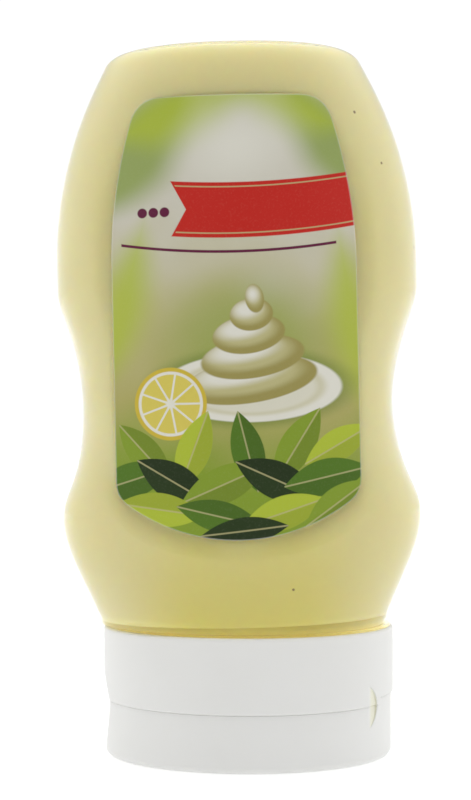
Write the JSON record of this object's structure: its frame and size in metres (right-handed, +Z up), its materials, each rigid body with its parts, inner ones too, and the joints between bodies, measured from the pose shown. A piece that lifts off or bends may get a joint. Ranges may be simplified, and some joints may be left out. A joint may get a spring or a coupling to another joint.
{
  "type": "mayonnaise squeeze bottle",
  "caption": "Clear waisted squeeze bottle full of mayonnaise, with a printed label front and back, standing upside down on a wide oval white flip-top cap.",
  "frame": {"origin": "The middle of the lid's flat face, on which the bottle stands.", "axes": "+Z up from the floor along the bottle, +X towards the lid's thumb tab, -Y out of the front label."},
  "size_m": [0.079, 0.047, 0.151],
  "materials": {
    "clear_plastic": "clear, smooth and glossy",
    "mayonnaise": "smooth pale cream emulsion with a few specks",
    "front_print": "satin printed film",
    "back_print": "satin printed film",
    "collar_plastic": "satin white moulded plastic",
    "lid_plastic": "satin white moulded plastic"
  },
  "bodies": {
    "root": {"bottle": "clear_plastic", "mayonnaise": "mayonnaise", "label_front": "front_print", "label_back": "back_print", "cap_collar": "collar_plastic", "cap_lid": "lid_plastic"}
  },
  "joints": []
}
